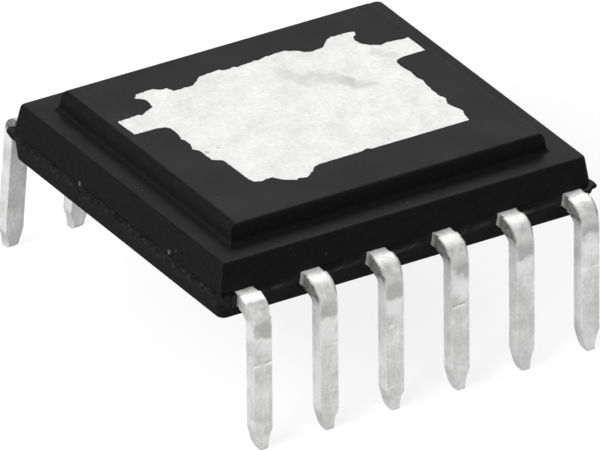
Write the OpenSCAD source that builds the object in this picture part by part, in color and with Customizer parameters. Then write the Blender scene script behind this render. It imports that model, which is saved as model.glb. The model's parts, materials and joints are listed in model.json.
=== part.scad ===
// Switching regulator in a moulded power package with an exposed pad on top.
// X runs along the two rows of leads, Y across them and Z up. The lead tips stand at Z = 0.

/* [Moulded body] */
// From the outermost lead's middle to the end of the body, at the parting plane
end_margin = 0.635; // [0.45:0.005:1]
// Width across the lead rows, at the parting plane
body_width = 8.89; // [8:0.01:11]
// Height from the underside to the parting plane
lower_height = 0.72; // [0.6:0.01:1]
// Height from the parting plane to the ledge
upper_height = 0.7; // [0.5:0.01:1]
// Height of the raised top above the ledge
plateau_height = 0.48; // [0.4:0.01:0.8]
// Width of the ledge round the raised top
ledge_width = 0.62; // [0.4:0.01:0.8]
// Draft of the walls below the parting plane, in degrees
lower_draft = 9; // [3:0.5:12]
// Draft of the walls between the parting plane and the ledge, in degrees
upper_draft = 12; // [3:0.5:14]
// Draft of the raised top's walls, in degrees
plateau_draft = 8; // [3:0.5:12]
// Corner radius at the parting plane
corner_radius = 0.28; // [0.25:0.01:0.5]
// Corner radius at the foot of the raised top
plateau_corner_radius = 0.25; // [0.2:0.01:0.5]
// Radius along the raised top's upper edge
plateau_edge_radius = 0.06; // [0.02:0.01:0.1]

/* [Mould flash] */
// Reach of the ragged flash between the leads
side_flash = 0.1; // [0.04:0.01:0.15]
// Reach of the ragged flash on the two ends
end_flash = 0.05; // [0.02:0.01:0.08]
// Reach of the flash stub beside each outermost lead
corner_flash = 0.42; // [0.1:0.01:0.5]
// From the body's end to the side of that flash
web_inset = 0.1; // [0.06:0.01:0.14]
// Thickness of the tongue round two of the corners
web_tongue = 0.15; // [0.05:0.01:0.2]
// How far that tongue stands out of the body's end
web_wrap = 0.09; // [0.05:0.01:0.15]
// Distance between the ragged points of the flash
flash_pitch = 0.16; // [0.1:0.01:0.3]
// Thickness of the flash that creeps over the border of the pad
flash_film = 0.02; // [0.01:0.005:0.05]
// How far it creeps over the pad's border at the deepest places
pad_flash = 0.33; // [0.1:0.01:0.4]

/* [Leads] */
// Places in each row
lead_places = 6; // [6:1:10]
// Distance between neighbouring places
lead_pitch = 1.778; // [1.5:0.001:2.54]
// Thickness of the copper sheet
sheet = 0.33; // [0.25:0.01:0.4]
// Width of a lead
lead_width = 0.48; // [0.4:0.01:0.6]
// From the body's side at the parting plane to the outer face of a lead's bend
lead_reach = 0.82; // [0.75:0.005:1.2]
// Outward splay of the leads below their bends, in degrees
lead_splay = 3.8; // [0:0.1:8]
// Outer radius of a lead's bend
bend_radius = 0.6; // [0.42:0.01:0.7]
// From the body's underside down to the lead tips
lead_drop = 2.95; // [2.5:0.01:4]
// What the cut dam bar leaves on each side of a lead
dam_stub = 0.035; // [0.01:0.005:0.08]
// From the body's side to the start of the dam bar stub
dam_start = 0.25; // [0.1:0.01:0.35]
// Where the dam bar stub ends round the bend, in degrees above level
dam_end = 25; // [5:1:50]
// Width of a lead's tip
tip_width = 0.25; // [0.15:0.01:0.35]
// Height of the straight end of a tip
tip_land = 0.17; // [0.1:0.01:0.3]
// Height of the whole tapered tip
tip_height = 0.52; // [0.4:0.01:0.7]
// Hollow of the taper, as a share of its width left at half height
tip_hollow = 0.25; // [0.1:0.05:0.6]

/* [Exposed pad] */
// From the raised top's edge to the end of a tab
tab_inset = 0.24; // [0.15:0.01:0.5]
// Length of a tab beyond the pad
tab_length = 0.9; // [0.6:0.01:1.2]
// Width of a tab
tab_width = 0.8; // [0.6:0.01:1]
// From the pad's far edge to the far side of a tab
tab_setback = 0.86; // [0.7:0.01:1.2]
// From the raised top's far edge to the pad
far_inset = 0.95; // [0.6:0.01:1.3]
// From the raised top's near edge to the pad
near_inset = 1.35; // [1.2:0.01:1.8]
// How far the copper runs on under the flash
pad_lap = 0.15; // [0.1:0.01:0.2]
// How far the opening over the pad sits off the middle, along the lead rows
pad_drift = 0.06; // [0:0.01:0.1]

/* [Formed frame] */
// Flat length of a strap before it steps down
strap_flat = 0.42; // [0.4:0.01:0.6]
// Width of a strap between the pad and the bus bar
strap_width = 1.3; // [1:0.05:1.6]
// Horizontal run of a strap's step
strap_run = 0.55; // [0.3:0.01:0.7]
// Width of the bus bar that joins the near leads
bus_width = 0.55; // [0.3:0.01:0.7]
// Horizontal run of a tab's step
tab_run = 0.38; // [0.3:0.01:0.5]
// Width of the yoke between the two tie bars of an end
yoke_width = 0.32; // [0.2:0.01:0.4]
// From the middle of the body to each tie bar
tie_offset = 1.95; // [1.6:0.01:2.5]
// Width of a tie bar
tie_width = 0.12; // [0.08:0.01:0.4]
// Thickness of a tie bar
tie_thickness = 0.14; // [0.08:0.01:0.25]
// How far a cut tie bar stands out of the end
tie_proud = 0.02; // [0.01:0.01:0.1]

/* [Far leads] */
// Width of a control lead's bond post
post_width = 0.9; // [0.6:0.05:1.2]
// Length of a bond post
post_length = 0.7; // [0.5:0.05:0.9]
// From the body's far side to the inner end of a bond post
post_depth = 1.6; // [1.2:0.05:1.8]
// Width of the drain lead's bond post
drain_post_width = 2.1; // [1.2:0.05:2.4]

/* [Chip and wires] */
// Length of the chip along the lead rows
die_length = 2.9; // [1.5:0.05:4]
// Width of the chip across the lead rows
die_width = 2.3; // [1.5:0.05:3]
// Thickness of the chip
die_thickness = 0.28; // [0.15:0.01:0.3]
// From the pad's middle to the chip's middle, towards the far leads
die_shift = 0.7; // [0.4:0.05:0.8]
// Thickness of the solder under the chip
attach_thickness = 0.04; // [0.02:0.005:0.06]
// How far the solder shows round the chip
attach_margin = 0.1; // [0.05:0.01:0.2]
// Diameter of a control wire
control_wire = 0.05; // [0.03:0.005:0.08]
// Diameter of a drain or source wire
power_wire = 0.1; // [0.06:0.01:0.12]
// Bend radius of a wire
wire_bend = 0.12; // [0.1:0.01:0.14]
// How far a wire's loop hangs below the lower of its two ends
wire_sag = 0.2; // [0.18:0.01:0.24]
// From the chip's edge to the bonds on it
bond_margin = 0.25; // [0.15:0.01:0.4]
// Distance between neighbouring bonds on the chip
bond_pitch = 0.45; // [0.3:0.01:0.5]
// Distance between the source wires, as a share of the chip's length
source_share = 0.5; // [0.3:0.05:0.7]

/* [Hidden] */

$fn = 48;
// How far a cutting tool runs past the face that it cuts
cut = 0.5;

// Heights of the mould's and the frame's levels
z_under = lead_drop;
z_part = z_under + lower_height;
z_ledge = z_part + upper_height;
z_top = z_ledge + plateau_height;
z_lead = z_part - sheet;
z_plate = z_top - flash_film;
z_plate_under = z_top - sheet;
z_die = z_plate_under - attach_thickness - die_thickness;

// Half sizes of the body at the parting plane, the ledge's rim and the raised top
half_x = (lead_places - 1) * lead_pitch / 2 + end_margin;
half_y = body_width / 2;
upper_inset = upper_height * tan(upper_draft);
plateau_inset = plateau_height * tan(plateau_draft);
foot_x = half_x - upper_inset - ledge_width;
foot_y = half_y - upper_inset - ledge_width;
plateau_x = foot_x - plateau_inset;
plateau_y = foot_y - plateau_inset;

// Lead rows
bend_y = half_y + lead_reach - bend_radius;
bend_z = z_part - bend_radius;
tip_y = bend_y + bend_radius / cos(lead_splay) + bend_z * tan(lead_splay);
function place_x(i) = (i - (lead_places - 1) / 2) * lead_pitch;
control_count = 4;
power_count = 2;
drain_place = lead_places - 1;

// Flash at the corners
web_start = half_x - end_margin + lead_width / 2;
web_end = half_x - web_inset;
web_foot = half_y - corner_radius;

// Pad edges
tab_x = plateau_x - tab_inset;
pad_x = tab_x - tab_length;
pad_far = plateau_y - far_inset;
pad_near = near_inset - plateau_y;
pad_mid = (pad_far + pad_near) / 2;
tab_far = pad_far - tab_setback;
tab_near = tab_far - tab_width;

// Where the straps and tabs meet the lead plane
strap_x = lead_pitch;
strap_bend = pad_near - strap_flat;
bus_inner = strap_bend - strap_run;
tab_bend = tab_x + pad_drift;
yoke_x = tab_bend + tab_run;

// Chip, seen from the far leads
die_mid = pad_mid + die_shift;
bond_far = die_mid + die_width / 2 - bond_margin;
bond_near = die_mid - die_width / 2 + bond_margin;
post_end = half_y - post_depth;
post_bond = post_end + post_length / 2;

// Ragged flash along the pad's border, as [share of the edge, share of pad_flash],
// counter-clockwise from the near edge. A negative share lets a lug of copper show.
near_rag = [
    [0.05, 0.21], [0.07, 0.03], [0.125, 0.061], [0.14, -0.42], [0.175, -0.91], [0.19, -1.1],
    [0.21, -0.94], [0.24, -1.1], [0.257, -0.91], [0.287, -0.52], [0.307, -0.091], [0.322, 0],
    [0.52, 0.03], [0.54, 0.15], [0.56, 0], [0.985, 0]
];
right_near_rag = [
    [0.015, 0.15], [0.09, 0.03], [0.14, -0.21], [0.23, 0.03], [0.29, 0.18], [0.35, -0.21], [0.4, 0.03],
    [0.555, 0], [0.615, -0.12], [0.665, -0.18], [0.71, 0], [0.82, -0.12], [0.865, 0], [0.95, 0]
];
right_tab_near_rag = [[0.07, -0.18], [0.22, -0.03], [0.94, 0]];
right_tab_end_rag = [[0.06, 0], [0.97, 0.03]];
right_tab_far_rag = [[0.2, 0.091], [0.37, 0], [0.75, -0.061], [0.86, 0.091]];
right_far_rag = [
    [0.09, 0.091], [0.15, 0.39], [0.3, 0.67], [0.48, 0.73], [0.65, 0.61], [0.77, 0.24], [0.94, 0.12]
];
far_rag = [
    [0.03, 0], [0.11, -0.061], [0.135, 0.15], [0.16, 0.61], [0.18, 0.97], [0.235, 1], [0.255, 0.82],
    [0.267, 0.48], [0.29, 0.21], [0.32, -0.061], [0.4, 0], [0.435, 0.21], [0.455, 0.091], [0.475, 0.24],
    [0.515, 0.21], [0.53, 0.39], [0.54, 0.061], [0.565, 0.24], [0.59, 0.18], [0.605, 0], [0.69, 0.091],
    [0.73, 0.61], [0.75, 0.97], [0.83, 0.97], [0.84, 0.42], [0.87, 0.3], [0.895, 0],
    [0.955, 0], [0.972, 0.091]
];
left_far_rag = [[0.23, 0.091], [0.29, 0.21], [0.4, 0.64], [0.63, 0.7], [0.84, 0.48], [0.9, 0.03]];
left_tab_far_rag = [[0.21, 0.15], [0.32, -0.091], [0.43, 0.03], [0.93, 0.03]];
left_tab_end_rag = [[0.08, 0], [0.95, 0.091]];
left_tab_near_rag = [[0.06, 0.03], [0.73, -0.03], [0.9, -0.12]];
left_near_rag = [
    [0.045, 0], [0.15, -0.061], [0.21, -0.21], [0.245, -0.061], [0.305, -0.061], [0.365, -0.3], [0.43, 0],
    [0.57, 0.03], [0.595, 0.42], [0.615, 0.67], [0.92, 0.73], [0.97, 0.82]
];

// Points along the edge from a to b, set in to its left by the ragged flash
function ragged_edge(a, b, rag) =
    let (along = b - a, inward = [-along.y, along.x] / norm(along))
    [for (r = rag) a + r[0] * along + r[1] * pad_flash * inward];

// Repeatable unevenness of broken flash, between 0 and 1, from a coarse and a fine wave
coarse_turn = 97;
fine_turn = 211;
coarse_share = 0.3;
fine_share = 0.2;
side_seed = 40;
end_seed = 15;
function broken(i, seed) =
    coarse_share * (1 + sin(coarse_turn * i + seed)) + fine_share * (1 + sin(fine_turn * i + 2 * seed));

// Points of the flash's broken edge along one side of the body, from -half to half
function flash_points(half, reach, seed) =
    let (count = ceil(2 * half / flash_pitch))
    [for (i = [0:count]) [-half + i * 2 * half / count, reach * broken(i, seed)]];

// A drafted tier of the moulding with rounded corners, standing at z = 0.
// The draft leans in going up, and a round of edge_r runs along its upper edge.
module tier(x, y, height, draft, corner_r, edge_r) {
    core_x = x - corner_r;
    core_y = y - corner_r;
    rotate([90, 0, 0])
        linear_extrude(2 * core_y, center = true) wall_pair(core_x, height, draft, corner_r, edge_r);
    rotate([90, 0, 90])
        linear_extrude(2 * core_x, center = true) wall_pair(core_y, height, draft, corner_r, edge_r);
    for (sx = [-1, 1], sy = [-1, 1])
        translate([sx * core_x, sy * core_y])
            rotate_extrude() wall(height, draft, corner_r, edge_r);
}

// Section of a tier's wall, from a corner's axis out to the surface
module wall(height, draft, corner_r, edge_r) {
    straight = height - edge_r;
    shoulder = corner_r - straight * tan(draft);
    polygon([[0, 0], [corner_r, 0], [shoulder, straight], [0, straight]]);
    if (edge_r > 0) {
        square([shoulder - edge_r, height]);
        intersection() {
            translate([shoulder - edge_r, straight]) circle(edge_r);
            translate([shoulder - edge_r, straight]) square(edge_r);
        }
    }
}

// Section right across a tier, with a wall at each side
module wall_pair(core, height, draft, corner_r, edge_r) {
    translate([-core, 0]) square([2 * core, height]);
    for (side = [0, 1])
        mirror([side, 0]) translate([core, 0]) wall(height, draft, corner_r, edge_r);
}

// Plan of the flash between an outermost lead and the corner beside it
module corner_web(reach) {
    polygon([
        [web_start, web_foot],
        [web_end, web_foot],
        [web_end, half_y + reach / 2],
        [web_end - web_inset, half_y + reach],
        [web_start, half_y + reach / 2]
    ]);
}

// Plan of the thin flash that wraps such a corner and runs out along the lead
module corner_tongue(reach) {
    polygon([
        [web_start, web_foot],
        [half_x + web_wrap, web_foot],
        [half_x + web_wrap, half_y - web_wrap],
        [half_x + web_wrap / 2, half_y + reach / 3],
        [web_end, half_y + reach / 2],
        [web_end - 2 * web_inset, half_y + reach],
        [web_start, half_y + reach / 2]
    ]);
}

// Broken flash round the parting plane, as thick as the sheet that the mould closed on
module parting_flash() {
    side = flash_points(half_x - corner_radius, side_flash, side_seed);
    end = flash_points(half_y - corner_radius, end_flash, end_seed);
    outline = concat(
        [for (p = side) [p.x, -half_y - p.y]],
        [for (p = end) [half_x + p.y, p.x]],
        [for (p = side) [-p.x, half_y + p.y]],
        [for (p = end) [-half_x - p.y, -p.x]]
    );
    translate([0, 0, z_lead]) linear_extrude(sheet) polygon(outline);
    for (turn = [0, 180], flip = [0, 1])
        rotate(turn) mirror([flip, 0]) {
            translate([0, 0, z_lead]) linear_extrude(sheet) corner_web(corner_flash / 2);
            if (flip == 1)
                translate([0, 0, z_part - web_tongue]) linear_extrude(web_tongue) corner_tongue(corner_flash);
        }
}

// The moulding before the pieces inside it are taken out
module moulding() {
    translate([0, 0, z_part])
        mirror([0, 0, 1]) tier(half_x, half_y, lower_height, lower_draft, corner_radius, 0);
    translate([0, 0, z_part])
        tier(half_x, half_y, upper_height, upper_draft, corner_radius, 0);
    translate([0, 0, z_ledge])
        tier(foot_x, foot_y, plateau_height, plateau_draft, plateau_corner_radius, plateau_edge_radius);
    parting_flash();
}

// Side view of a formed lead, from its inner end at y to its tip
module lead_side(y) {
    translate([y, z_lead]) square([bend_y - y, sheet]);
    translate([bend_y, bend_z])
        intersection() {
            rotate(lead_splay) {
                difference() {
                    circle(bend_radius);
                    circle(bend_radius - sheet);
                    translate([-z_part, -z_part]) square([2 * z_part, z_part]);
                }
                translate([bend_radius - sheet, -z_part]) square([sheet, z_part]);
            }
            translate([0, -bend_z]) square([z_part, z_top]);
        }
}

// What the punch takes off one side of a tip, in front view
module tip_cut() {
    half = lead_width / 2;
    half_tip = tip_width / 2;
    polygon([
        [half, tip_height],
        [half_tip + tip_hollow * (half - half_tip), (tip_height + tip_land) / 2],
        [half_tip, tip_land],
        [half_tip, -cut],
        [half + cut, -cut],
        [half + cut, tip_height]
    ]);
}

// A far lead in the middle place, formed from the inner end at y
module formed_lead(y) {
    stub_y = half_y + dam_start;
    difference() {
        rotate([90, 0, 90]) linear_extrude(lead_width, center = true) lead_side(y);
        for (side = [0, 1])
            mirror([side, 0])
                translate([0, tip_y + cut, 0])
                    rotate([90, 0, 0]) linear_extrude(tip_y - bend_y + cut) tip_cut();
    }
    rotate([90, 0, 90])
        linear_extrude(lead_width + 2 * dam_stub, center = true)
            intersection() {
                lead_side(y);
                polygon([
                    [stub_y, bend_z + (stub_y - bend_y) * tan(dam_end)],
                    [tip_y, bend_z + (tip_y - bend_y) * tan(dam_end)],
                    [tip_y, z_part],
                    [stub_y, z_part]
                ]);
            }
}

// Sheet stepping from the plate's level at u0 down to the lead plane at u1, and on to u2
module stepped_sheet(u_start, u0, u1, u2) {
    angle = atan2(z_plate - z_part, u1 - u0);
    shift = sheet * tan(angle / 2);
    polygon([
        [u_start, z_plate],
        [u0, z_plate],
        [u1, z_part],
        [u2, z_part],
        [u2, z_lead],
        [u1 - shift, z_lead],
        [u0 - shift, z_plate_under],
        [u_start, z_plate_under]
    ]);
}

// Outline of the copper that shows, ragged where the flash has crept over it
module bare_pad() {
    near_left = [-pad_x, pad_near];
    near_right = [pad_x, pad_near];
    far_right = [pad_x, pad_far];
    far_left = [-pad_x, pad_far];
    polygon(concat(
        ragged_edge(near_left, near_right, near_rag),
        ragged_edge(near_right, [pad_x, tab_near], right_near_rag),
        ragged_edge([pad_x, tab_near], [tab_x, tab_near], right_tab_near_rag),
        ragged_edge([tab_x, tab_near], [tab_x, tab_far], right_tab_end_rag),
        ragged_edge([tab_x, tab_far], [pad_x, tab_far], right_tab_far_rag),
        ragged_edge([pad_x, tab_far], far_right, right_far_rag),
        ragged_edge(far_right, far_left, far_rag),
        ragged_edge(far_left, [-pad_x, tab_far], left_far_rag),
        ragged_edge([-pad_x, tab_far], [-tab_x, tab_far], left_tab_far_rag),
        ragged_edge([-tab_x, tab_far], [-tab_x, tab_near], left_tab_end_rag),
        ragged_edge([-tab_x, tab_near], [-pad_x, tab_near], left_tab_near_rag),
        ragged_edge([-pad_x, tab_near], near_left, left_near_rag)
    ));
}

// Pad, tabs, straps, bus bar, tie bars and the near leads, stamped and formed from one sheet
module source_frame_solid() {
    plate_x = pad_x + pad_lap;
    plate_near = pad_near - pad_lap;
    tab_mid = (tab_far + tab_near) / 2;
    bus_outer = bus_inner - bus_width;
    bus_half = place_x(lead_places - 1) + lead_width / 2;
    tie_half = tie_offset + tie_width / 2;
    translate([0, 0, z_plate]) linear_extrude(flash_film) translate([pad_drift, 0]) bare_pad();
    translate([-plate_x, plate_near, z_plate_under])
        cube([2 * plate_x, pad_far + pad_lap - plate_near, z_plate - z_plate_under]);
    for (side = [0, 1])
        mirror([side, 0]) {
            translate([strap_x, 0])
                rotate([90, 0, -90])
                    linear_extrude(strap_width, center = true)
                        stepped_sheet(-pad_near - pad_lap, -strap_bend, -bus_inner, -bus_outer);
            translate([0, tab_mid])
                rotate([90, 0, 0])
                    linear_extrude(tab_width + 2 * pad_lap, center = true)
                        stepped_sheet(pad_x, tab_bend, yoke_x, yoke_x + yoke_width);
            translate([yoke_x, -tie_half, z_lead]) cube([yoke_width, 2 * tie_half, sheet]);
            for (y = [-tie_offset, tie_offset])
                translate([yoke_x, y - tie_width / 2, z_part - tie_thickness])
                    cube([half_x + tie_proud - yoke_x, tie_width, tie_thickness]);
        }
    translate([-bus_half, bus_outer, z_lead]) cube([2 * bus_half, bus_width, sheet]);
    for (i = [0:lead_places - 1])
        translate([place_x(i), 0]) mirror([0, 1]) formed_lead(-bus_outer - bus_width / 2);
}

// A control lead, counted from the left end of the far row
module control_lead_solid(i) {
    translate([place_x(i), 0]) {
        formed_lead(post_end + post_length / 2);
        translate([-post_width / 2, post_end, z_lead]) cube([post_width, post_length, sheet]);
    }
}

// The drain lead, with its post widened over the empty place beside it
module drain_lead_solid() {
    translate([place_x(drain_place), 0]) {
        formed_lead(post_end + post_length / 2);
        translate([post_width / 2 - drain_post_width, post_end, z_lead])
            cube([drain_post_width, post_length, sheet]);
    }
}

module silicon_die_solid() {
    translate([-die_length / 2, die_mid - die_width / 2, z_die])
        cube([die_length, die_width, die_thickness]);
}

module die_attach_solid() {
    solder_x = die_length / 2 + attach_margin;
    solder_y = die_width / 2 + attach_margin;
    translate([-solder_x, die_mid - solder_y, z_plate_under - attach_thickness])
        cube([2 * solder_x, 2 * solder_y, attach_thickness]);
}

// A bond wire that drops from one bond, runs level below both and rises to the other
module bond_wire(from, to, diameter) {
    span = norm([to.x - from.x, to.y - from.y]);
    level = min(from.z, to.z) - wire_sag;
    knee = level + wire_bend;
    translate([from.x, from.y, 0])
        rotate(atan2(to.y - from.y, to.x - from.x)) {
            translate([0, 0, knee]) cylinder(d = diameter, h = from.z - knee);
            translate([span, 0, knee]) cylinder(d = diameter, h = to.z - knee);
            translate([wire_bend, 0, level])
                rotate([0, 90, 0]) cylinder(d = diameter, h = span - 2 * wire_bend);
            translate([wire_bend, 0, knee])
                rotate([90, 0, 0]) rotate(180)
                    rotate_extrude(angle = 90) translate([wire_bend, 0]) circle(d = diameter);
            translate([span - wire_bend, 0, knee])
                rotate([90, 0, 0]) rotate(-90)
                    rotate_extrude(angle = 90) translate([wire_bend, 0]) circle(d = diameter);
        }
}

// Control bonds sit in a row at the chip's far edge, on its left
module control_wire_solid(i) {
    bond_wire(
        [bond_margin - die_length / 2 + i * bond_pitch, bond_far, z_die],
        [place_x(i), post_bond, z_lead],
        control_wire
    );
}

// Drain bonds sit at the right end of the same edge
module drain_wire_solid(i) {
    bond_wire(
        [die_length / 2 - bond_margin - i * bond_pitch, bond_far, z_die],
        [place_x(drain_place) - (i + 1) * drain_post_width / (power_count + 1), post_bond, z_lead],
        power_wire
    );
}

// Source bonds drop from the chip's near edge on to the back of the pad
module source_wire_solid(i) {
    x = (2 * i - 1) * source_share * die_length / 2;
    bond_wire(
        [x, bond_near, z_die],
        [x, die_mid - die_width / 2 - attach_margin - bond_margin, z_plate_under],
        power_wire
    );
}

// Everything that the moulding is cast round
module cast_in() {
    source_frame_solid();
    for (i = [0:control_count - 1]) {
        control_lead_solid(i);
        control_wire_solid(i);
    }
    drain_lead_solid();
    silicon_die_solid();
    die_attach_solid();
    for (i = [0:power_count - 1]) {
        drain_wire_solid(i);
        source_wire_solid(i);
    }
}

module moulded_body() {
    color([0.13, 0.13, 0.13])
        difference() {
            moulding();
            cast_in();
        }
}

module source_frame() { color([0.8, 0.8, 0.79]) source_frame_solid(); }

module control_lead(i) { color([0.8, 0.8, 0.79]) control_lead_solid(i); }

module drain_lead() { color([0.8, 0.8, 0.79]) drain_lead_solid(); }

module silicon_die() { color([0.3, 0.32, 0.36]) silicon_die_solid(); }

module die_attach() { color([0.6, 0.6, 0.62]) die_attach_solid(); }

module control_wire(i) { color([0.83, 0.62, 0.25]) control_wire_solid(i); }

module drain_wire(i) { color([0.72, 0.45, 0.3]) drain_wire_solid(i); }

module source_wire(i) { color([0.72, 0.45, 0.3]) source_wire_solid(i); }

moulded_body();
source_frame();
control_lead(0);  // control_lead_1
control_lead(1);  // control_lead_2
control_lead(2);  // control_lead_3
control_lead(3);  // control_lead_4
drain_lead();
silicon_die();
die_attach();
control_wire(0);  // control_wire_1
control_wire(1);  // control_wire_2
control_wire(2);  // control_wire_3
control_wire(3);  // control_wire_4
drain_wire(0);  // drain_wire_1
drain_wire(1);  // drain_wire_2
source_wire(0);  // source_wire_1
source_wire(1);  // source_wire_2
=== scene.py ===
import json
import math

import bmesh
import bpy
from mathutils import Matrix, Vector, noise

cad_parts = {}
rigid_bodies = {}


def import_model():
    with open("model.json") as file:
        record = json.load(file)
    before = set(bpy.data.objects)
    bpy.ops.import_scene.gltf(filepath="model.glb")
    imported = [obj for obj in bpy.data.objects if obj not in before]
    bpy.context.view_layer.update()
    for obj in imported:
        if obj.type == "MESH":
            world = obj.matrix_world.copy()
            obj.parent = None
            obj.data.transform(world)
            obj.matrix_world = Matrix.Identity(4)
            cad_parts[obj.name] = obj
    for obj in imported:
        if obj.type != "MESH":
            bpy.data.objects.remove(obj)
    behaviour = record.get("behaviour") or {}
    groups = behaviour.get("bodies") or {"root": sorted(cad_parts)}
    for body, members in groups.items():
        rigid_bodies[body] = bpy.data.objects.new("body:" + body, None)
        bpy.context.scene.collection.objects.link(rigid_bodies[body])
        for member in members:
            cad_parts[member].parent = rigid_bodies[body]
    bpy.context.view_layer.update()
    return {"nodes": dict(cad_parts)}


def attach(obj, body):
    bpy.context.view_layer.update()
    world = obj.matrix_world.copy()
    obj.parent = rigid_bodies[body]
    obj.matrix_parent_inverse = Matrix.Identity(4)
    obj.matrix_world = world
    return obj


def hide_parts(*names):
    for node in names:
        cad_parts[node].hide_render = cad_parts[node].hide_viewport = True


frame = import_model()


# Source frame: one strip of copper 0.33 mm thick, stamped, formed and plated. Its pad lies bare in the top
# of the moulding, two straps step down from it to a bus bar with the near row of six leads, and two tabs
# step down to the tie bars that held the strip in the mould.
mm = 0.001
sheet = 0.33
part_level = 3.67
pad_level = 4.838
plate_under = 4.52
half_x = 5.08
body_side = 4.445
lead_pitch = 1.778
middle_place = 2.5
lead_half = 0.24
bend_radius = 0.6
bend_y, bend_z = 4.665, 3.07
bend_end = 3.1
splay = math.radians(3.8)
# The noise vectors that ripple the leads follow this seed, so every run gives the same leads.
noise.seed_set(5)


def between(at, points):
    """Value at a place along a line drawn through (place, value) points."""
    for (a, low), (b, high) in zip(points, points[1:]):
        if at <= b:
            return low + (high - low) * max(at - a, 0) / (b - a)
    return points[-1][1]


def sheet_section(left, right, front, back):
    """Loop of (across, depth) points round the chamfered sheet, from the left of its outer face."""
    edge = 0.002
    left, right, top, low = edge - left, right - edge, front + edge, sheet - back - edge
    wide = [k / 8 for k in range(9)]
    deep = [k / 4 for k in range(5)]
    loop = [(left + (right - left) * share, front) for share in wide]
    loop += [(right + edge, top + (low - top) * share) for share in deep]
    loop += [(right + (left - right) * share, sheet - back) for share in wide]
    return loop + [(left - edge, low + (top - low) * share) for share in deep]


def lead_path(inner, mark):
    """Outer face of a lead as (y, z, outward y, outward z, on the dam bar), from the moulding to the tip."""
    path = [(y, part_level, 0, 1, False) for y in (inner, 4.2, body_side, 4.5, 4.55, 4.6, 4.64)]
    # The bend in degrees, with the stumps of the dam bar from 87 degrees down to 25.
    turns = [(90, False), (88.6, False), (87.5, False)]
    turns += [(87.1 - 2.57 * k, True) for k in range(25)]
    turns += [(25.1 - 3.04 * k, False) for k in range(8)]
    for turn, dam in turns:
        ny, nz = math.cos(math.radians(turn)), math.sin(math.radians(turn))
        path.append((bend_y + bend_radius * ny, bend_z + bend_radius * nz, ny, nz, dam))
    y, z = path[-1][:2]
    levels = [3.08, 3.05, 3.02, 3.0, 2.985, 2.97, 2.955, 2.94, 2.91, 2.86, 2.8, 2.7, 2.6, 2.5, 2.4, 2.3]
    levels += [mark + step for step in (0.06, 0.035, 0.022, 0.012, 0.004)]
    levels += [mark - step for step in (0.004, 0.012, 0.022, 0.035, 0.06)]
    levels += [2 - 0.1 * k for k in range(14)] + [0.62, 0.57] + [0.53 - 0.03 * k for k in range(15)]
    levels += [0.085, 0.06, 0.04, 0.025, 0.012, 0]
    out, slope = 1 / math.cos(splay), math.tan(splay)
    return path + [(y + (z - level) * slope, level, out, 0, False) for level in levels]


def lead_sides(z, dam, shoulder):
    """Half widths of a lead to left and right: cut dam bar, plain leg, then the punched taper to the tip."""
    if dam:
        stub = lead_half + between(z, ((3.32, 0.006), (3.56, 0.035)))
        return stub, stub
    left = between(z, ((0, 0.1), (0.1, 0.125), (0.17, 0.145), (0.35, 0.195), (0.53, lead_half)))
    right = between(z, ((0, 0.11), (0.17, 0.125), (0.3, 0.155), (shoulder, lead_half)))
    return left, right


def layer(mesh, name):
    """The values that a mesh keeps at its points under this name, for a material to read."""
    return mesh.verts.layers.float.get(name) or mesh.verts.layers.float.new(name)


def add_skin(mesh, loops):
    """Adds the faces between each loop of points and the next."""
    for a, b in zip(loops, loops[1:]):
        for k in range(len(a)):
            mesh.faces.new((a[k - 1], a[k], b[k], b[k - 1]))


def tool_groove(across, z, mark, seed):
    """Depth of the ragged groove that the forming tool left across the leg."""
    deep, half_height = 0.01, 0.045
    bite = max(0.6 + 1.4 * noise.noise(Vector((across * 5, z, 0)) + seed), 0)
    strays = 0.03 * noise.noise(Vector((across * 7, 9, 0)) + seed)
    return deep * bite * max(1 - abs(z - mark - strays) / half_height, 0)


def crush(y, z):
    """A point on a bend, after a knock left three flats there, each facing one way at its reach."""
    for facing, reach in ((70, 0.58), (52, 0.574), (30, 0.582)):
        fy, fz = math.cos(math.radians(facing)), math.sin(math.radians(facing))
        over = max((y - bend_y) * fy + (z - bend_z) * fz - reach, 0)
        y, z = y - over * fy, z - over * fz
    return y, z


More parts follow.
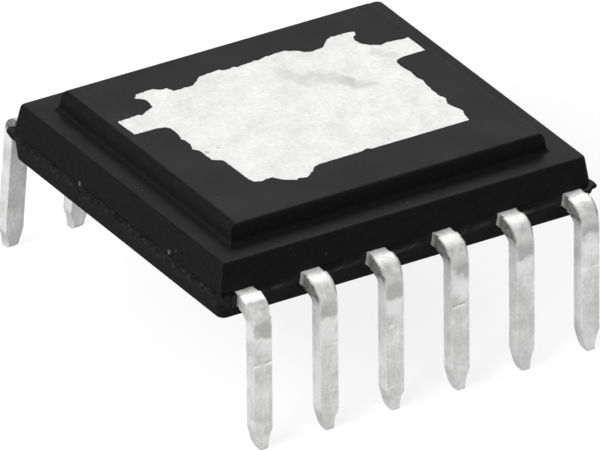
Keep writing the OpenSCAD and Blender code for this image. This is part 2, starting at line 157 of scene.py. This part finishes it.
def add_lead(mesh, x, side, inner, shoulder=0.5, crushed=False):
    """Adds one formed lead to a mesh, in the near row (side -1) or the far row (side 1)."""
    sheared, rub_and_painted_light, burnished = layer(mesh, "sheared"), layer(mesh, "rub_and_painted_light"), layer(mesh, "burnished")
    seed = Vector((x * 3.1, side * 7.7, 0))
    mark = 2.16 + 0.08 * noise.noise(seed)
    loops = []
    for y, z, ny, nz, dam in lead_path(inner, mark):
        left, right = lead_sides(z, dam, shoulder)
        # The tip is eased a little in front, and hollowed at the back by the punch.
        front = 0.012 * max(1 - z / 0.03, 0) ** 2
        back = 0.13 * max(1 - z / 0.15, 0) ** 2
        knocked = crushed and z > bend_end
        dents = 0.013 if knocked else 0.002
        loop = []
        for across, depth in sheet_section(left, right, front, back):
            outer = depth < 0.005 + front
            deep = depth + (tool_groove(across, z, mark, seed) if outer else 0)
            py, pz = y - deep * ny, z - deep * nz
            if knocked and depth < 0.1:
                py, pz = crush(py, pz)
            spot = Vector((x - side * across, side * py, pz))
            if y > body_side + 0.02:
                ripple = noise.noise_vector(spot * 3 + seed) * 0.004
                ripple += noise.noise_vector(spot * 9 + seed) * dents
                if dam and abs(across) > lead_half + 0.02:
                    ripple.x += noise.noise(spot * 22) * 0.014
                spot += Vector((ripple.x, ripple.y * 0.6, 0)) * min(z / 0.3, 1)
            point = mesh.verts.new(spot)
            on_side = abs(across) > max(left, right) - 0.004
            if on_side and not crushed and depth < between(z, ((3.3, 0.1), (3.5, sheet))):
                point[sheared] = between(z, ((3.22, 0), (3.34, 1))) * between(y, ((4.5, 0), (4.58, 1)))
            if front + 0.001 < depth < sheet - back - 0.001:
                point[burnished] = between(z, ((bend_end, 1), (3.3, 0)))
            # The outer face, which carries the worn patch on the leg and the bends' painted shade and
            # highlights.
            if outer:
                point[rub_and_painted_light] = between(abs(across), ((lead_half * 0.8, 1), (lead_half, 0.5)))
            loop.append(point)
        loops.append(loop)
    add_skin(mesh, loops)
    mesh.faces.new(loops[0])
    mesh.faces.new(loops[-1])


def add_prism(mesh, outline, ends, place=lambda u, v, w: (u, v, w)):
    """Adds a closed prism: an outline of (u, v) points, carried from one end to the other."""
    first, last = [[mesh.verts.new(place(u, v, w)) for u, v in outline] for w in ends]
    add_skin(mesh, [first, last])
    mesh.faces.new(first)
    mesh.faces.new(last)


def rectangle(u0, v0, u1, v1):
    """Outline of a rectangle between two opposite corners."""
    return [(u0, v0), (u1, v0), (u1, v1), (u0, v1)]


def stepped(start, u0, u1, end):
    """Side view of the sheet where it steps from the pad's level down to the leads' level."""
    shift = sheet * math.tan(math.atan2(pad_level - part_level, u1 - u0) / 2)
    upper = [(start, pad_level), (u0, pad_level), (u1, part_level), (end, part_level)]
    lower = [(end, part_level - sheet), (u1 - shift, part_level - sheet)]
    return upper + lower + [(u0 - shift, plate_under), (start, plate_under)]


def make_piece(name, mesh, material, stands_for):
    """Turns a mesh drawn in millimetres into a piece of the part that stands for a CAD node."""
    bmesh.ops.recalc_face_normals(mesh, faces=mesh.faces)
    bmesh.ops.scale(mesh, vec=(mm, mm, mm), verts=mesh.verts)
    data = bpy.data.meshes.new(name)
    mesh.to_mesh(data)
    mesh.free()
    data.shade_smooth()
    data.set_sharp_from_angle(angle=math.radians(35))
    data.materials.append(material)
    piece = bpy.data.objects.new(name, data)
    bpy.context.scene.collection.objects.link(piece)
    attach(piece, "root")
    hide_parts(stands_for)
    return piece


def linear(colour):
    """An sRGB hex colour as linear red, green, blue and alpha."""
    parts = [int(colour[i:i + 2], 16) / 255 for i in (1, 3, 5)]
    return (*[c / 12.92 if c <= 0.04045 else ((c + 0.055) / 1.055) ** 2.4 for c in parts], 1)


def add_node(tree, kind, inputs=None, **settings):
    """Adds a node to a material, with its settings, and with values or links for its inputs."""
    made = tree.nodes.new(kind)
    for name, value in settings.items():
        setattr(made, name, value)
    for name, value in (inputs or {}).items():
        if isinstance(value, bpy.types.NodeSocket):
            tree.links.new(value, made.inputs[name])
        else:
            made.inputs[name].default_value = value
    return made


def new_material(name):
    """A material with an empty node tree, and the place on the piece where its patterns are drawn."""
    material = bpy.data.materials.new(name)
    material.use_nodes = True
    tree = material.node_tree
    tree.nodes.clear()
    return material, tree, add_node(tree, "ShaderNodeTexCoord").outputs["Object"]


def cloudy(tree, place, size, detail, roughness=0.5, output="Fac"):
    """Noise with features of about the given size in millimetres."""
    look = {"Vector": place, "Scale": 1 / (size * mm), "Detail": detail, "Roughness": roughness}
    return add_node(tree, "ShaderNodeTexNoise", look).outputs[output]


def ranged(tree, value, low, high, start=0, end=1):
    """A value carried from the range low to high onto the range start to end, and held at both ends."""
    limits = {"Value": value, "From Min": low, "From Max": high, "To Min": start, "To Max": end}
    return add_node(tree, "ShaderNodeMapRange", limits).outputs["Result"]


def maths(tree, operation, *values):
    """The product, the greater or the like of values and links."""
    return add_node(tree, "ShaderNodeMath", dict(enumerate(values)), operation=operation).outputs["Value"]


def blended(tree, share, a, b):
    """A value between two others."""
    return add_node(tree, "ShaderNodeMix", {"Factor": share, "A": a, "B": b}).outputs["Result"]


def tinted(tree, share, a, b):
    """A colour between two others."""
    made = add_node(tree, "ShaderNodeMix", {"Factor": share, "A": a, "B": b}, data_type="RGBA")
    return made.outputs["Result"]


def toned(tree, share, low, high):
    """A colour between two (share, hex colour) stops."""
    made = add_node(tree, "ShaderNodeValToRGB", {"Fac": share})
    for stop, (position, colour) in zip(made.color_ramp.elements, (low, high)):
        stop.position = position
        stop.color = linear(colour)
    return made.outputs["Color"]


def point_values(tree, name):
    """What a mesh keeps at its points under this name."""
    return add_node(tree, "ShaderNodeAttribute", attribute_name=name).outputs["Fac"]


def bumpy(tree, height, strength, distance, **under):
    """Fine relief of the given depth in millimetres, over any other relief."""
    look = {"Height": height, "Strength": strength, "Distance": distance * mm}
    return add_node(tree, "ShaderNodeBump", {**look, **under}).outputs["Normal"]


def surface(tree, inputs):
    """Ends a material in one shader with these inputs."""
    shader = add_node(tree, "ShaderNodeBsdfPrincipled", inputs)
    add_node(tree, "ShaderNodeOutputMaterial", {"Surface": shader.outputs["BSDF"]})


# Matt tin, plated on copper: a pale grey metal with a fine dull grain, mottled by handling, with faint lines
# along the leads from the shear. The forming tool wore the legs lighter, the punch burnished the legs'
# sides, and the dam bar's rough stumps look darker. The bends carry painted shade where they turn down and
# painted highlights on their crowns and flat tops, and the pad is painted a shade darker than the leads.
matt_tin, tree, place = new_material("matt_tin_plating")
height = add_node(tree, "ShaderNodeSeparateXYZ", {"Vector": place}).outputs["Z"]
patches = cloudy(tree, place, 0.5, 3)
mottle = cloudy(tree, place, 0.1, 4, 0.65)
drawn_out = add_node(tree, "ShaderNodeMapping", {"Vector": place, "Scale": (1, 1, 0.03)}).outputs["Vector"]
lines = cloudy(tree, drawn_out, 0.06, 2)
grain = cloudy(tree, place, 0.04, 3, 0.6)
mixed = blended(tree, 0.2, blended(tree, 0.6, patches, mottle), lines)
handled = toned(tree, mixed, (0.36, "#d3d3d2"), (0.64, "#efefee"))
# Painted shade: the pad's tone is less mottled, and darker than the leads' to offset the stronger light on
# it.
pad_clean_and_shaded = toned(tree, mottle, (0.3, "#cecdcd"), (0.7, "#dbdbda"))
colour = tinted(tree, ranged(tree, height, 3.7 * mm, 4.7 * mm), handled, pad_clean_and_shaded)

# The worn patch on the leg has strayed edges. Above it, painted shade darkens the bend up to the flat top.
strayed = maths(tree, "MULTIPLY_ADD", patches, 1.1 * mm, height)
from_below = ranged(tree, strayed, 2.6 * mm, 3 * mm)
to_above = ranged(tree, strayed, 3.3 * mm, 3.52 * mm, 1, 0)
on_leg = maths(tree, "MULTIPLY", maths(tree, "MULTIPLY", from_below, to_above), 0.55)
# Painted highlight: light patches on the bends' crowns and flat tops.
painted_highlight_patches = ranged(tree, cloudy(tree, place, 0.22, 3, 0.6), 0.36, 0.62, 0, 0.4)
painted_bend_highlight = maths(tree, "MULTIPLY", ranged(tree, height, 3.2 * mm, 3.4 * mm), painted_highlight_patches)
outer_face = point_values(tree, "rub_and_painted_light")
past_leg = maths(tree, "SUBTRACT", outer_face, to_above)
# Painted shade: the bend's outer face is darker where it turns down, fading out at the flat top.
painted_bend_shade = maths(tree, "MULTIPLY", past_leg, ranged(tree, height, 3.55 * mm, 3.66 * mm, 0.55, 0))
colour = tinted(tree, painted_bend_shade, colour, linear("#a6a6a5"))
# The worn leg and the painted highlight on the bend, both lightened towards white on the outer face.
leg_wear_and_highlight = maths(tree, "MULTIPLY", maths(tree, "MAXIMUM", on_leg, painted_bend_highlight), outer_face)
colour = tinted(tree, leg_wear_and_highlight, colour, linear("#ffffff"))
uneven = ranged(tree, mixed, 0.38, 0.62, 0.5, 1)
on_sides = maths(tree, "MULTIPLY", point_values(tree, "burnished"), uneven)
colour = tinted(tree, on_sides, colour, linear("#ffffff"))

# A smear on the pad and four specks, each spot as x, y, size and depth of tone.
smear = (
    (0.6, 1.85, 0.34, 0.16), (0.7, 1.55, 0.34, 0.2), (0.83, 1.26, 0.36, 0.22), (1.05, 1.18, 0.34, 0.22),
    (1.27, 1.1, 0.34, 0.24), (1.45, 0.95, 0.32, 0.3), (1.6, 0.8, 0.32, 0.4), (1.7, 0.6, 0.28, 0.4),
    (1.8, 0.43, 0.24, 0.3), (2.0, 0.4, 0.16, 0.2), (2.16, 0.37, 0.14, 0.24), (3.0, 1.45, 0.2, 0.2),
    (3.25, 1.3, 0.24, 0.2), (1.9, 2.4, 0.16, 0.2),
)
specks = (
    (-2.9, -0.48, 0.07, 0.7), (-2.58, -0.42, 0.05, 0.7), (1.0, -2.02, 0.05, 0.6), (3.0, -1.15, 0.05, 0.6),
)
drift = cloudy(tree, place, 0.3, 4, output="Color")
reach = 0.6 * mm
smudged = add_node(tree, "ShaderNodeVectorMath", {0: drift, 1: (reach, reach, 0), 2: place},
                   operation="MULTIPLY_ADD").outputs["Vector"]
stain = 0
for spots, drawn_at, shift in ((smear, smudged, reach / 2), (specks, place, 0)):
    for x, y, size, depth in spots:
        spot = Vector((x, y, pad_level)) * mm + Vector((shift, shift, 0))
        away = add_node(tree, "ShaderNodeVectorMath", {0: drawn_at, 1: spot}, operation="DISTANCE")
        mark = ranged(tree, away.outputs["Value"], size * 0.4 * mm, size * mm, depth, 0)
        stain = maths(tree, "MAXIMUM", stain, mark)
colour = tinted(tree, stain, colour, linear("#969694"))
rough_cut = maths(tree, "MULTIPLY", point_values(tree, "sheared"), ranged(tree, mottle, 0.35, 0.65, 0.45, 1))
colour = tinted(tree, rough_cut, colour, linear("#7c7a78"))
relief = bumpy(tree, mottle, 0.5, 0.02, Normal=bumpy(tree, grain, 0.3, 0.01))
surface(tree, {"Base Color": colour, "Metallic": 1, "Roughness": ranged(tree, patches, 0.3, 0.7, 0.6, 0.72),
               "Normal": relief})

pad_x, pad_near, pad_far = 3.2538, -2.4088, 2.8088
tab_bend, yoke_in, yoke_out = 4.0638, 4.4438, 4.7638
tab_near, tab_far = 0.8488, 1.9488
yoke_near, yoke_far = -2.36, 2.01
strap_bend, bus_in, bus_out = 2.6788, 3.2288, 3.7788
strap_half, bus_half = 0.65, 4.685
near_root = 3.5038
ties = (-2.31, 1.45)
tie_half, tie_end, tie_tip = 0.035, 5.083, 5.09
tie_low, tie_high = part_level - 0.02, part_level + 0.07
lead_levels = (part_level - sheet, part_level)
strip = bmesh.new()
add_prism(strip, rectangle(-pad_x, pad_near, pad_x, pad_far), (plate_under, pad_level))
for mirror in (-1, 1):
    add_prism(strip, stepped(pad_x, tab_bend, yoke_in, yoke_out), (tab_near, tab_far),
              lambda u, v, w: (mirror * u, w, v))
    add_prism(strip, stepped(-pad_near, strap_bend, bus_in, bus_out), (-strap_half, strap_half),
              lambda u, v, w: (mirror * lead_pitch + w, -u, v))
    add_prism(strip, rectangle(yoke_in, yoke_near, yoke_out, yoke_far), lead_levels,
              lambda u, v, w: (mirror * u, v, w))
    for tie, rise in zip(ties, (0.055, 0.01)):
        cut_end = [(tie_end, tie - tie_half), (tie_tip, tie), (tie_end, tie + tie_half)]
        add_prism(strip, [(yoke_in, tie - tie_half), *cut_end, (yoke_in, tie + tie_half)],
                  (tie_low + rise, tie_high + rise), lambda u, v, w: (mirror * u, v, w))
add_prism(strip, rectangle(-bus_half, -bus_out, bus_half, -bus_in), lead_levels)
for k, shoulder in enumerate((0.5, 0.43, 0.41, 0.49, 0.5, 0.48)):
    add_lead(strip, (k - middle_place) * lead_pitch, -1, near_root, shoulder, crushed=k == 0)
# The cut ends of the tie bars are rougher than the stumps of the dam bar.
cut_ends, rougher = layer(strip, "sheared"), 1.8
for point in strip.verts:
    if abs(point.co.x) > half_x:
        point[cut_ends] = rougher
make_piece("source_frame_strip", strip, matt_tin, "source_frame")


# Far row: four control leads and the drain lead, cut from the same plated strip and bent with it. Each
# begins in a wider post inside the moulding, where its bond wires land. The fifth place is empty.
far_root, post_in, post_out = 3.195, 2.845, 3.545
post_half, wide_post = 0.45, 1.65
places = {f"control_lead_{k + 1}": k for k in range(4)}
places["drain_lead"] = 5
for node, k in places.items():
    x = (k - middle_place) * lead_pitch
    start = wide_post if node == "drain_lead" else post_half
    lead = bmesh.new()
    add_lead(lead, x, 1, far_root)
    add_prism(lead, rectangle(x - start, post_in, x + post_half, post_out), lead_levels)
    make_piece(node + "_formed", lead, matt_tin, node)


# Chip and its solder: a slice of silicon, ground on the back and soldered under the pad. Both are cast in,
# so the CAD solids stay and get the finish of ground silicon and of reflowed tin-lead.
silicon, tree, place = new_material("ground_silicon")
scratches = add_node(tree, "ShaderNodeTexWave", {"Vector": place, "Scale": 1 / (0.04 * mm), "Distortion": 2,
                                                 "Detail": 2}).outputs["Fac"]
surface(tree, {"Base Color": linear("#4b4e57"), "Metallic": 1,
               "Roughness": ranged(tree, scratches, 0, 1, 0.18, 0.3)})


def cells(tree, place, size):
    """Distance from the middle of the nearest of many cells of the given size in millimetres."""
    made = add_node(tree, "ShaderNodeTexVoronoi", {"Vector": place, "Scale": 1 / (size * mm)})
    return made.outputs["Distance"]


solder, tree, place = new_material("reflowed_solder")
surface(tree, {"Base Color": linear("#a6a6a4"), "Metallic": 1,
               "Roughness": ranged(tree, cells(tree, place, 0.1), 0, 1, 0.3, 0.45)})

for name, material in (("silicon_die", silicon), ("die_attach", solder)):
    frame["nodes"][name].data.materials.clear()
    frame["nodes"][name].data.materials.append(material)


# Bond wires: drawn gold to the control leads, thicker drawn copper for the drain and the source. They are
# cast in too, and show the fine dull grain that the drawing die leaves.
for metal_name, tint, nodes in (
    ("drawn_gold", "#dfae52", [f"control_wire_{k}" for k in (1, 2, 3, 4)]),
    ("drawn_copper", "#c9805a", ["drain_wire_1", "drain_wire_2", "source_wire_1", "source_wire_2"]),
):
    wire_metal, tree, place = new_material(metal_name)
    surface(tree, {"Base Color": linear(tint), "Metallic": 1,
                   "Roughness": ranged(tree, cloudy(tree, place, 0.02, 2), 0, 1, 0.18, 0.34)})
    for name in nodes:
        frame["nodes"][name].data.materials.clear()
        frame["nodes"][name].data.materials.append(wire_metal)


# Moulded body: black epoxy, transfer moulded round the strip. Drafted walls, a ledge round a raised top, a
# parting line at the leads' upper face, broken flash between the leads and a thin film crept over the pad.
under_level, ledge_level, top_level = 2.95, 4.37, 4.85
draft = math.tan(math.radians(9))
line_corner = 0.28
corner_steps, x_steps, y_steps = 6, 280, 250
lump_place, lump_size = Vector((-4.95, -4.37, 3.5)), 0.05


def ease(path):
    """A profile of (out, z, corner radius, rounding length) points with its corners rounded off."""
    eased = []
    for k, (out, z, corner, size) in enumerate(path):
        here = Vector((out, z, corner))
        if not size:
            eased.append(here)
            continue
        before, after = Vector(path[k - 1][:3]), Vector(path[k + 1][:3])
        start = here + (before - here) * min(size / (before - here).to_2d().length, 0.9)
        end = here + (after - here) * min(size / (after - here).to_2d().length, 0.9)
        for step in range(7):
            t = step / 6
            eased.append(start * (1 - t) ** 2 + here * 2 * t * (1 - t) + end * t ** 2)
    return eased


def body_profile(rounding):
    """The body's section as (out, z, corner radius), with the raised top's edge rounded as far as given."""
    profile = ease([(-1.2, under_level, 0.1, 0), (-0.72 * draft, under_level, 0.17, 0.05),
                    (-0.65 * draft, 3.02, 0.178, 0)])
    levels = [3.05, 3.1, 3.15, 3.2, 3.25, 3.29, 3.32] + [3.34 + 0.02 * k for k in range(14)]
    for z in levels + [3.615, 3.63, 3.642, 3.652, 3.658, 3.663, 3.667]:
        inset = (part_level - z) * draft
        profile.append(Vector((-inset, z, line_corner - inset)))
    return profile + ease([
        (-0.002, part_level, 0.278, 0), (-0.014, 3.674, 0.27, 0),
        (-0.014, 3.69, 0.27, 0), (-0.008, 3.7, 0.274, 0),
        (-0.1488, ledge_level, 0.131, 0.08), (-0.7688, ledge_level, 0.12, 0.11),
        (-0.8363, top_level, 0.12, rounding), (-1, top_level, 0.08, 0),
    ])


def body_ring(out, end_out, corner, crisp):
    """Points round the body, as (x, y, outward x, outward y, share along a side or None in a corner)."""
    ring = []
    for turn in range(4):
        long, wide, steps = half_x + end_out, body_side + out, x_steps
        if turn % 2:
            long, wide, steps = wide, long, y_steps
        start = (crisp if turn == 0 else corner) - long
        bow = crisp if turn == 3 else corner
        end = long - bow
        flat = [(start + (end - start) * k / steps, -wide, 0, -1, k / steps) for k in range(steps + 1)]
        for k in range(1, corner_steps + 1):
            a = math.pi / 2 * k / (corner_steps + 1)
            nx, ny = math.sin(a), -math.cos(a)
            flat.append((end + bow * nx, bow - wide + bow * ny, nx, ny, None))
        c, s = round(math.cos(turn * math.pi / 2)), round(math.sin(turn * math.pi / 2))
        for x, y, nx, ny, along in flat:
            ring.append((c * x - s * y, s * x + c * y, c * nx - s * ny, s * nx + c * ny, along))
    return ring


def aslant(x, y, z):
    """A place on the lower walls, sheared, so that noise drawn there leans the way the resin broke."""
    return Vector((x * 0.65, y * 0.65, z + 0.455 * y))


def flash_out(x, y, z, nx, along):
    """How far crumbs of resin, the broken flash and a lump in one corner stand out of the lower wall."""
    on_end = abs(nx) > 0.5
    if along is None:
        away = (Vector((x, y, z)) - lump_place).length
        return lump_size * math.exp(-(away / lump_size) ** 2)
    if part_level < z < part_level + 0.025 and not on_end:
        return 0.009
    if not 3 < z < part_level:
        return 0
    crumbs = noise.noise(aslant(x, y, z) * 7) + 0.6 * noise.noise(aslant(x, y, z) * 14)
    stand = crumbs * between(z, ((3.15, 0.001), (3.45, 0.006), (3.6, 0.009 if on_end else 0.003)))
    if z > part_level - sheet:
        ragged = 0.7 + 0.6 * noise.noise(Vector((x, y, z)) * 6)
        if on_end:
            reach = 0.02 * min(max(min(abs(y - tie) for tie in ties) / 0.1 - 0.7, 0), 1)
            pits = max(noise.noise(aslant(x, y, z) * 6.5) - 0.12, 0)
            stand -= 0.14 * pits * between(z, ((3.4, 0), (3.54, 1), (3.64, 1), (3.668, 0.3)))
        else:
            gap = (x * (1 if y < 0 else -1) / lead_pitch + middle_place) % 1
            reach = between(gap, ((0, 0.07), (0.17, 0.1), (0.83, 0.015), (1, 0.015)))
        stand += reach * ragged * min((z - part_level + sheet) / 0.12, (part_level - z) / 0.1, 1)
    from_corner = min(along, 1 - along)
    return max(stand, -0.05) * min(from_corner * 40, 1)


def parting_rise(x, y, z, nx):
    """How far the ragged parting line strays up or down."""
    if abs(z - part_level) > 0.05:
        return 0
    jagged = noise.noise(Vector((x * 5, y * 5, 3))) + 0.6 * noise.noise(Vector((x * 11, y * 11, 3)))
    return (0.03 if abs(nx) > 0.5 else 0.01) * jagged


# The raised top's short edges are rounder than its long ones, and the body's near left corner is crisp.
long_edge, short_edge = body_profile(rounding=0.11), body_profile(rounding=0.34)
body = bmesh.new()
broken, crumbly = layer(body, "broken"), layer(body, "crumbly")
loops = []
for (out, side_z, corner), (end_out, end_z, _) in zip(long_edge, short_edge):
    loop = []
    crisp = between(side_z, ((3.3, corner), (3.7, 0.03), (ledge_level, 0.008), (4.45, 0.004)))
    for x, y, nx, ny, along in body_ring(out, end_out, corner, crisp):
        z = side_z + (end_z - side_z) * nx * nx
        stand = flash_out(x, y, z, nx, along)
        point = body.verts.new((x + nx * stand, y + ny * stand, z + parting_rise(x, y, z, nx)))
        if abs(ny) > 0.5:
            ridge = max(1 - abs(z - 3.46) / 0.1, 0) * (0.5 + noise.noise(Vector((x * 4, y * 4, z * 7))))
            point[broken] = between(stand, ((0.012, 0), (0.04, 1))) * max(ridge, 0)
        if abs(nx) > 0.5:
            dots = max(noise.noise(aslant(x, y, z) * 13) - 0.12, 0) * 3
            point[crumbly] = dots * between(z, ((3.2, 0), (3.5, 1), (3.66, 1), (3.69, 0)))
        loop.append(point)
    loops.append(loop)
add_skin(body, loops)
body.faces.new(loops[0])

# The film's ragged edge is read from the bare copper of the CAD frame, broken up a little more, and given a
# thin rounded lip that comes down on the pad.
copper = frame["nodes"]["source_frame"].data
bare = [f for f in copper.polygons if f.normal.z > 0.99 and abs(f.center.z / mm - top_level) < 0.002]
sides = {}
for face in bare:
    for pair in face.edge_keys:
        ends = [tuple(round(c / mm, 4) for c in copper.vertices[v].co[:2]) for v in pair]
        sides.setdefault(frozenset(ends), []).append(ends)
turns = {}
for ends in sides.values():
    if len(ends) == 1:
        a, b = ends[0]
        turns.setdefault(a, []).append(b)
        turns.setdefault(b, []).append(a)
first = min(turns)
edge = [first, turns[first][0]]
while edge[-1] != first:
    edge.append(next(p for p in turns[edge[-1]] if p != edge[-2]))
edge = [Vector(p) for p in edge[:-1]]
if sum(a.x * b.y - b.x * a.y for a, b in zip(edge, edge[1:] + edge[:1])) < 0:
    edge.reverse()
crinkle, lap = 0.025, 0.03
torn = []
for a, b in zip(edge, edge[1:] + edge[:1]):
    length = (b - a).length
    away = Vector((b.y - a.y, a.x - b.x)) / length
    deep = 0.006 if length > 0.6 else 0.024
    steps = max(round(length / crinkle), 1)
    for k in range(steps):
        spot = a.lerp(b, k / steps)
        bite = sum(share * noise.noise(Vector((spot.x * fine, spot.y * fine, 1)))
                   for fine, share in ((7, 1), (15, 0.7), (24, 0.4)))
        torn.append(spot + away * (bite * deep - lap))
edge = [a.lerp(b, t) for a, b in zip(torn, torn[1:] + torn[:1]) for t in (0.25, 0.75)]
lips = [[], [], []]
for k, here in enumerate(edge):
    along = (edge[(k + 1) % len(edge)] - edge[k - 1]).normalized()
    away = Vector((along.y, -along.x))
    for lip, (out, drop) in zip(lips, ((0.006, 0), (0.002, 0.003), (0, 0.016))):
        lip.append(body.verts.new((here.x + away.x * out, here.y + away.y * out, top_level - drop)))
add_skin(body, lips)
rim = [body.edges.get((loop[k - 1], loop[k])) or body.edges.new((loop[k - 1], loop[k]))
       for loop in (loops[-1], lips[0]) for k in range(len(loop))]
bmesh.ops.triangle_fill(body, edges=rim, use_beauty=True, normal=(0, 0, 1))

# Flash left between the outermost leads and the corners beside them: thick webs at two of the corners, a
# thin tongue and a low wedge at the others. Each is a plan outline, stacked in (level, inset) steps.
web = [(4.685, 4.165), (4.98, 4.165), (4.98, 4.55), (4.95, 4.62), (4.88, 4.65), (4.8, 4.6), (4.685, 4.55)]
near_tongue = [(4.685, 4.165), (5.14, 4.165), (5.165, 4.22), (5.168, 4.36), (5.155, 4.43), (5.1, 4.46),
               (5.02, 4.47), (4.95, 4.53), (4.88, 4.6), (4.8, 4.62), (4.685, 4.6)]
far_tongue = [(4.685, 4.165), (4.95, 4.165), (4.97, 4.4), (4.98, 4.62), (4.95, 4.76), (4.88, 4.82),
              (4.8, 4.78), (4.685, 4.66)]
thick = ((3.344, 0.03), (3.37, 0), (3.62, 0.01), (3.65, 0.04), (3.662, 0.1))
thin = ((3.55, 0.04), (3.565, 0.01), (3.58, 0), (3.63, 0), (3.65, 0.012), (3.66, 0.03))
wedge = ((3.16, 0.24), (3.25, 0.12), (3.33, 0.04), (3.41, 0), (3.47, 0), (3.51, 0.02))
for outline, levels, x_side, y_side in (
    (web, thick, -1, -1), (web, thick, 1, 1), (near_tongue, thin, 1, -1), (far_tongue, wedge, -1, 1),
):
    stack = []
    for z, inset in levels:
        stack.append([body.verts.new((x_side * (u - inset), y_side * (v - inset), z)) for u, v in outline])
    add_skin(body, stack)
    body.faces.new(stack[0])
    body.faces.new(stack[-1])

# Black epoxy: carbon-filled resin with silica filler. Matt from the spark-eroded mould, with a fine even
# grain, faintly cloudy, lighter where it is crumbled or broken, and here and there a light speck of filler.
epoxy, tree, place = new_material("black_epoxy")
cloud = cloudy(tree, place, 1.2, 3)
grain = cloudy(tree, place, 0.08, 3, 0.6)
filler = cells(tree, place, 0.7)
colour = toned(tree, grain, (0.3, "#040404"), (0.7, "#101010"))
colour = tinted(tree, point_values(tree, "crumbly"), colour, linear("#1e1e1e"))
colour = tinted(tree, ranged(tree, filler, 0.03, 0.055, 1, 0), colour, linear("#383838"))
colour = tinted(tree, point_values(tree, "broken"), colour, linear("#444444"))
surface(tree, {"Base Color": colour, "IOR": 1.52, "Specular IOR Level": 0.2,
               "Roughness": ranged(tree, cloud, 0.3, 0.7, 0.48, 0.54),
               "Normal": bumpy(tree, grain, 0.25, 0.01)})
moulding = make_piece("moulded_body_epoxy", body, epoxy, "moulded_body")


# Stage: a plain pale floor under the lead tips, soft boxes above it, and the camera where the photograph's
# was, 400 mm away with a long lens, as fitted to the body's edges.
floor_half, floor_gap = 1.5, 0.01 * mm
floor_mesh = bmesh.new()
bmesh.ops.create_grid(floor_mesh, x_segments=1, y_segments=1, size=floor_half)
floor_data = bpy.data.meshes.new("floor")
floor_mesh.to_mesh(floor_data)
floor_mesh.free()
floor = bpy.data.objects.new("floor", floor_data)
floor.location.z = -floor_gap
bpy.context.scene.collection.objects.link(floor)
paper, tree, place = new_material("white_paper")
surface(tree, {"Base Color": toned(tree, cloudy(tree, place, 2, 3), (0, "#808080"), (1, "#838383")),
               "Roughness": 0.95, "Specular IOR Level": 0, "Emission Color": linear("#ffffff"),
               "Emission Strength": 0.84})
floor_data.materials.append(paper)
floor.visible_glossy = False

# The light from all round is dimmer than the white that the camera sees past the floor.
scene = bpy.context.scene
scene.view_settings.view_transform = "Standard"
world = bpy.data.worlds.new("studio")
world.use_nodes = True
tree = world.node_tree
around = tree.nodes["Background"]
around.inputs["Color"].default_value = linear("#ffffff")
around.inputs["Strength"].default_value = 0.225
backdrop = add_node(tree, "ShaderNodeBackground", {"Color": linear("#f7f7f7")})
seen = add_node(tree, "ShaderNodeLightPath").outputs["Is Camera Ray"]
both = add_node(tree, "ShaderNodeMixShader", {"Fac": seen, 1: around.outputs[0], 2: backdrop.outputs[0]})
tree.links.new(both.outputs[0], tree.nodes["World Output"].inputs["Surface"])
scene.world = world

# Soft boxes round the part, set to the photograph's tones, each with its bearing, its height in degrees and
# its power. The cards light the plated metal alone, and the two strongest boxes on the left leave it out.
plated = bpy.data.collections.new("plated_metal")
for piece in scene.collection.objects:
    if piece.type == "MESH" and matt_tin.name in piece.data.materials:
        plated.objects.link(piece)
unplated = bpy.data.collections.new("moulding_and_floor")
unplated.objects.link(moulding)
unplated.objects.link(floor)
box_size, box_distance = 0.2, 0.3
aim = Vector((0, 0, part_level * mm))
for name, bearing, rise, power, lights in (
    ("left_front", 288, 27, 0.7, unplated), ("left_high", 270, 48, 0.26, unplated),
    ("left_low", 252, 8, 0.08, None),
    ("back_right_high", 135, 48, 0.23, None), ("back_right_low", 144, 8, 0.04, None),
    ("front_left_card", 324, 8, 0.75, plated), ("back_left_card", 216, 8, 0.3, plated),
    ("front_card", 0, 8, 0.45, plated), ("left_card", 288, 8, 0.5, plated),
    ("back_right_card", 108, 8, 0.09, plated), ("top_card", 150, 72, 0.44, plated),
):
    a, e = math.radians(bearing), math.radians(rise)
    away = Vector((math.sin(a) * math.cos(e), -math.cos(a) * math.cos(e), math.sin(e)))
    light = bpy.data.lights.new(name, "AREA")
    light.shape, light.size, light.energy = "DISK", box_size, power
    box = bpy.data.objects.new(name, light)
    box.location = aim + away * box_distance
    box.rotation_euler = away.to_track_quat("Z", "Y").to_euler()
    box.visible_camera = False
    box.light_linking.receiver_collection = lights
    scene.collection.objects.link(box)

bearing, rise, roll = math.radians(33.9754), math.radians(29.4666), math.radians(1.828)
distance, shift_right, shift_up = 400, -0.0305, -1.5577
focal_pixels, photo_width = 17524.8, 600
back = Vector((-math.sin(bearing) * math.cos(rise), -math.cos(bearing) * math.cos(rise), math.sin(rise)))
right = Vector((math.cos(bearing), -math.sin(bearing), 0))
up = back.cross(right)
right, up = right * math.cos(roll) + up * math.sin(roll), up * math.cos(roll) - right * math.sin(roll)
lens = bpy.data.cameras.new("camera")
lens.sensor_width = 36
lens.lens = focal_pixels / photo_width * lens.sensor_width
lens.clip_start, lens.clip_end = 0.01, 5
camera = bpy.data.objects.new("camera", lens)
camera.rotation_mode = "QUATERNION"
turned = [[right[k], up[k], back[k]] for k in range(3)]
camera.rotation_quaternion = Matrix(turned).to_quaternion()
camera.location = aim + (back * distance + right * shift_right + up * shift_up) * mm
scene.collection.objects.link(camera)
scene.camera = camera
